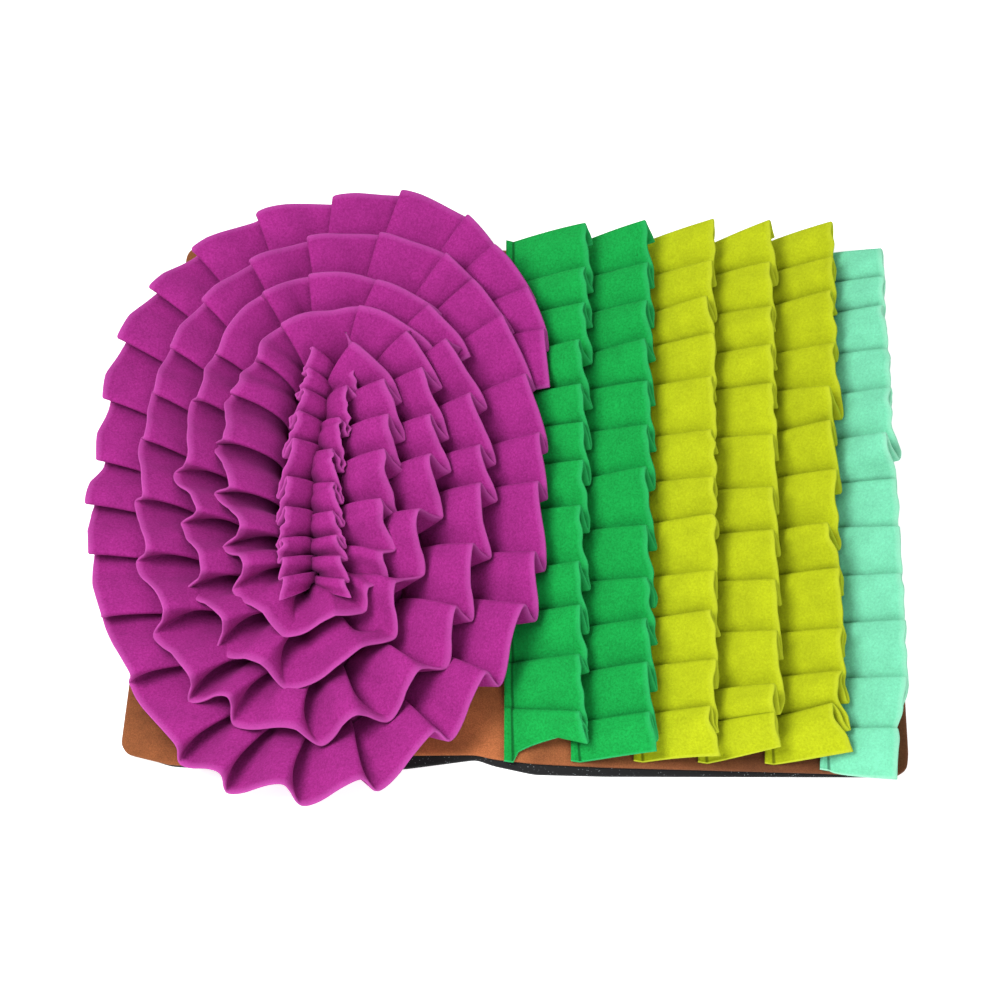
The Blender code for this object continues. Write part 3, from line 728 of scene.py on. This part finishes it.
def turn_line(bearings):
    """The stitch line over bearings that count on from turn to turn, and the strip's shape along it."""
    turn, bearing = np.divmod(bearings, 360.0)
    step = np.clip((bearing - STEP_IN[0]) / (STEP_IN[1] - STEP_IN[0]), 0.0, 1.0)
    level = np.clip(turn - 1 + step**2 * (3 - 2 * step), 0, len(TURNS) - 1)
    sizes = {
        column: np.interp(level, range(len(TURNS)), values)
        for column, values in zip(TURN_COLUMNS, zip(*TURNS))
    }
    angle = np.radians(bearings)
    inner_x, inner_y = sizes["half_x"] - sizes["corner"], sizes["half_y"] - sizes["corner"]
    normal_x, normal_y = inner_y * np.cos(angle), inner_x * np.sin(angle)
    normal = np.hypot(normal_x, normal_y)
    nearness = np.exp(-(((bearing - SWELL_BEARING) / SWELL_SPREAD) ** 2))
    swell = np.interp(bearings / 360, *SWELLS) * nearness
    x = sizes["x"] + inner_x * np.cos(angle) + (sizes["corner"] + swell) * normal_x / normal
    y = sizes["y"] + inner_y * np.sin(angle) + (sizes["corner"] + swell) * normal_y / normal
    line = StitchLine(x, y)
    rise = sizes["rise"] + sizes["rise_right"] * np.cos(line.out)
    rise += sizes["rise_back"] * np.sin(line.out)
    reach = np.sqrt(OVAL_STRIP**2 - rise**2)
    bends = {"bend_out": sizes["bend_out"], "bend_up": sizes["bend_up"]}
    return line, {"rise": rise, "reach": reach, **bends}


start = START_BEARING
for number, folds in enumerate(OVAL_FOLDS):
    fold_bearings, jogs = np.array(folds, dtype=float).T
    first, last = 360 * number + start, 360 * number + fold_bearings[-1]
    bearings = np.linspace(first - LINE_RUN_ON, last + LINE_RUN_ON, LINE_POINTS)
    line, shape = turn_line(bearings)
    tips = np.interp(fold_bearings + 360 * number, bearings, line.along)
    cut = float(np.interp(first, bearings, line.along))
    shape.update(
        seam_allowance=OVAL_SEAM_ALLOWANCE, seam_curl=0.0, mirrored=False, seed=40 + number,
        untidy=0.15, softness=OVAL_SOFTNESS[number], overlap=OVAL_OVERLAP, end_curve=1.0, ragged=0.6,
        sway=1.0, droop=1.0, stations=17, jog=jogs,
        flare=np.interp(fold_bearings, BEARINGS, FLARES[number]),
        opening=np.interp(fold_bearings, BEARINGS, OPENINGS[number]),
    )
    piece = strip_solid(
        f"magenta_oval_{number + 1}", line, tips + FOLD_SLANT, tips,
        (cut - START_TAIL[0], cut - START_TAIL[1]), shape, cloths["magenta"],
    )
    start = fold_bearings[-1] - 360
    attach(piece, "root")
    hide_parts(f"magenta_ruffle_{number + 1}")

# ---------------------------------------------------------------- centre rows
# Two short rows of the same magenta strip fill the middle of the ovals.
# They are sewn side by side and lean apart, standing almost upright.
CENTRE_LINE = (  # y, x of the line between the two rows
    (-100, -164), (-67, -167), (-32, -168), (21, -164), (57, -158), (96, -152), (120, -151),
)
CENTRE_ENDS = (-88.0, 84.0)  # front, back
CENTRE_LINE_POINTS = 61
CENTRE_COLUMNS = ("side", "reach_front", "reach_back", "rise")
CENTRE_ROWS = {
    "magenta_ruffle_5": (-1, 23.0, 20.0, 52.0),
    "magenta_ruffle_6": (1, 22.0, 18.0, 53.0),
}
CENTRE_APART = 4.0  # from the line between the rows to each row's stitches
CENTRE_SEAM_ALLOWANCE = 3.5
CENTRE_STITCHED_FOLDS = (  # y of each fold from the back, for the two rows
    (84, 84), (73, 72), (61, 59), (46, 42), (27, 19), (-6, -9), (-33, -35), (-53, -53), (-68, -67),
    (-79, -80), (-88, -88),
)
CENTRE_OPENINGS = (  # how far each fold stands open, from the back
    0.7, 0.7, 0.8, 0.7, 1.0, 0.9, 1.1, 1.3, 2.0, 2.4,
)
CENTRE_FREE_FOLDS = (  # and at the free edge
    (102, 98), (81, 79), (60, 60), (38, 30), (12, 0), (-24, -28), (-52, -54), (-77, -76), (-94, -93),
    (-111, -112), (-126, -124),
)
line_y, line_x = np.array(CENTRE_LINE, dtype=float).T
middle_y = np.linspace(*CENTRE_ENDS, CENTRE_LINE_POINTS)
middle_x = np.polyval(np.polyfit(line_y, line_x, 4), middle_y)
for number, (node, sizes) in enumerate(CENTRE_ROWS.items()):
    row = dict(zip(CENTRE_COLUMNS, sizes))
    settings = {
        "reach": np.linspace(row["reach_front"], row["reach_back"], len(middle_y)),
        "rise": np.full(len(middle_y), row["rise"]), "bend_out": 0.12, "bend_up": 0.64,
        "seam_allowance": CENTRE_SEAM_ALLOWANCE, "seam_curl": 0.0, "seed": 60 + number, "untidy": 0.2,
        "softness": 1.2, "overlap": 14.0, "end_curve": 1.0, "ragged": 0.6, "sway": 1.0, "droop": 0.0,
        "stations": 17, "flare": np.full(len(CENTRE_OPENINGS), -2.0),
        "opening": np.array(CENTRE_OPENINGS[::-1]), "jog": np.zeros(len(CENTRE_OPENINGS)),
    }
    piece = row_strip(
        f"magenta_centre_row_{number + 1}",
        middle_x + row["side"] * CENTRE_APART, middle_y, row["side"],
        [folds[number] for folds in CENTRE_STITCHED_FOLDS],
        [folds[number] for folds in CENTRE_FREE_FOLDS],
        settings, cloths["magenta"],
    )
    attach(piece, "root")
    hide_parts(node)

# ---------------------------------------------------------------- studio
# A pale seamless floor, an even white surround and two large soft lamps, at the left and in front.
# The camera looks down on the mat from its front side.
FLOOR_HALF = 4000.0
FLOOR_GLOW = 0.62
SURROUND_STRENGTH = 0.50
floor_colour, nodes, links, shader, place = node_material("studio floor", 0.9)
grain = ramp(nodes, links, noise(nodes, links, place, 3.0), ((0.3, grey(0.90)), (0.7, grey(0.92))))
links.new(grain, shader.inputs["Base Color"])
shader.inputs["Emission Color"].default_value = (1.0, 1.0, 1.0, 1.0)
shader.inputs["Emission Strength"].default_value = FLOOR_GLOW
corners = np.array([(-1, -1, 0), (1, -1, 0), (1, 1, 0), (-1, 1, 0)], dtype=float) * FLOOR_HALF
floor = new_object("studio_floor", corners, [(0, 1, 2, 3)], floor_colour)

world = bpy.data.worlds.new("studio")
bpy.context.scene.world = world
world.use_nodes = True
background = world.node_tree.nodes["Background"]
background.inputs["Color"].default_value = (1.0, 1.0, 1.0, 1.0)
background.inputs["Strength"].default_value = SURROUND_STRENGTH


def soft_lamp(name, place, size, power):
    """A square lamp that shines on the middle of the mat."""
    lamp = bpy.data.lights.new(name, "AREA")
    lamp.shape = "SQUARE"
    lamp.size = size
    lamp.energy = power
    piece = bpy.data.objects.new(name, lamp)
    piece.location = place
    piece.rotation_euler = (-Vector(place)).to_track_quat("-Z", "Y").to_euler()
    bpy.context.scene.collection.objects.link(piece)


soft_lamp("key_lamp", (-0.8, -0.25, 1.5), 0.8, 25.0)
soft_lamp("front_lamp", (0.4, -1.4, 1.3), 1.0, 11.0)

CAMERA_PLACE = (-0.0185, -1.1098, 1.9165)
CAMERA_PITCH = 30.0
CAMERA_LENS = 98.0
SENSOR_WIDTH = 36.0
camera_data = bpy.data.cameras.new("camera")
camera_data.sensor_width = SENSOR_WIDTH
camera_data.lens = CAMERA_LENS
camera = bpy.data.objects.new("camera", camera_data)
camera.location = CAMERA_PLACE
camera.rotation_euler = (math.radians(CAMERA_PITCH), 0.0, 0.0)
bpy.context.scene.collection.objects.link(camera)
bpy.context.scene.camera = camera
bpy.context.scene.view_settings.view_transform = "Standard"
